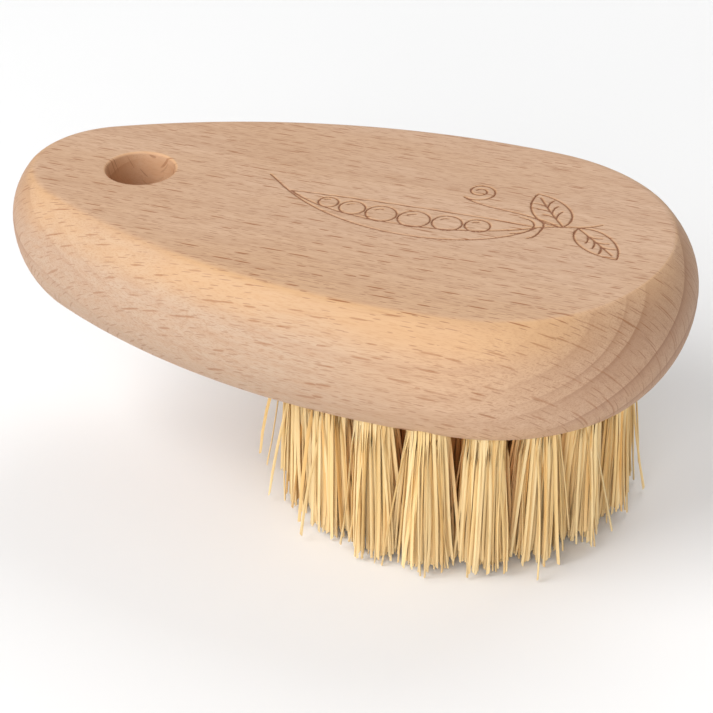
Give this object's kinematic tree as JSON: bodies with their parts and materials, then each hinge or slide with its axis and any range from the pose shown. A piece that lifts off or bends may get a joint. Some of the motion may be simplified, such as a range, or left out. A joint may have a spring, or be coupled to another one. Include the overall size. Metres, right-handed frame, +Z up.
{
  "type": "vegetable brush",
  "caption": "Egg-shaped wooden hand brush for vegetables: flat top, rounded edge, hanging hole through the narrow end, and a round field of stiff plant-fibre tufts under the wide end.",
  "frame": {"origin": "middle of the block in plan, at the level of the trimmed fibre tips on which the brush stands", "axes": "+X along the block to its wide end, +Z up through the flat top, +Y across the block"},
  "size_m": [0.12, 0.0694, 0.05],
  "materials": {
    "beech": "bare oiled beech, finely sanded, satin",
    "plant_fibre": "stiff pale straw plant fibre, matte with a slight sheen",
    "anchor_steel": "bare rolled strip"
  },
  "bodies": {
    "root": {"block": "beech", "tuft_centre": "plant_fibre", "tuft_inner_1": "plant_fibre", "tuft_inner_2": "plant_fibre", "tuft_inner_3": "plant_fibre", "tuft_inner_4": "plant_fibre", "tuft_inner_5": "plant_fibre", "tuft_inner_6": "plant_fibre", "tuft_middle_1": "plant_fibre", "tuft_middle_2": "plant_fibre", "tuft_middle_3": "plant_fibre", "tuft_middle_4": "plant_fibre", "tuft_middle_5": "plant_fibre", "tuft_middle_6": "plant_fibre", "tuft_middle_7": "plant_fibre", "tuft_middle_8": "plant_fibre", "tuft_middle_9": "plant_fibre", "tuft_middle_10": "plant_fibre", "tuft_middle_11": "plant_fibre", "tuft_middle_12": "plant_fibre", "tuft_outer_1": "plant_fibre", "tuft_outer_2": "plant_fibre", "tuft_outer_3": "plant_fibre", "tuft_outer_4": "plant_fibre", "tuft_outer_5": "plant_fibre", "tuft_outer_6": "plant_fibre", "tuft_outer_7": "plant_fibre", "tuft_outer_8": "plant_fibre", "tuft_outer_9": "plant_fibre", "tuft_outer_10": "plant_fibre", "tuft_outer_11": "plant_fibre", "tuft_outer_12": "plant_fibre", "tuft_outer_13": "plant_fibre", "tuft_outer_14": "plant_fibre", "tuft_outer_15": "plant_fibre", "tuft_outer_16": "plant_fibre", "tuft_outer_17": "plant_fibre", "tuft_outer_18": "plant_fibre", "anchors": "anchor_steel"}
  },
  "joints": []
}
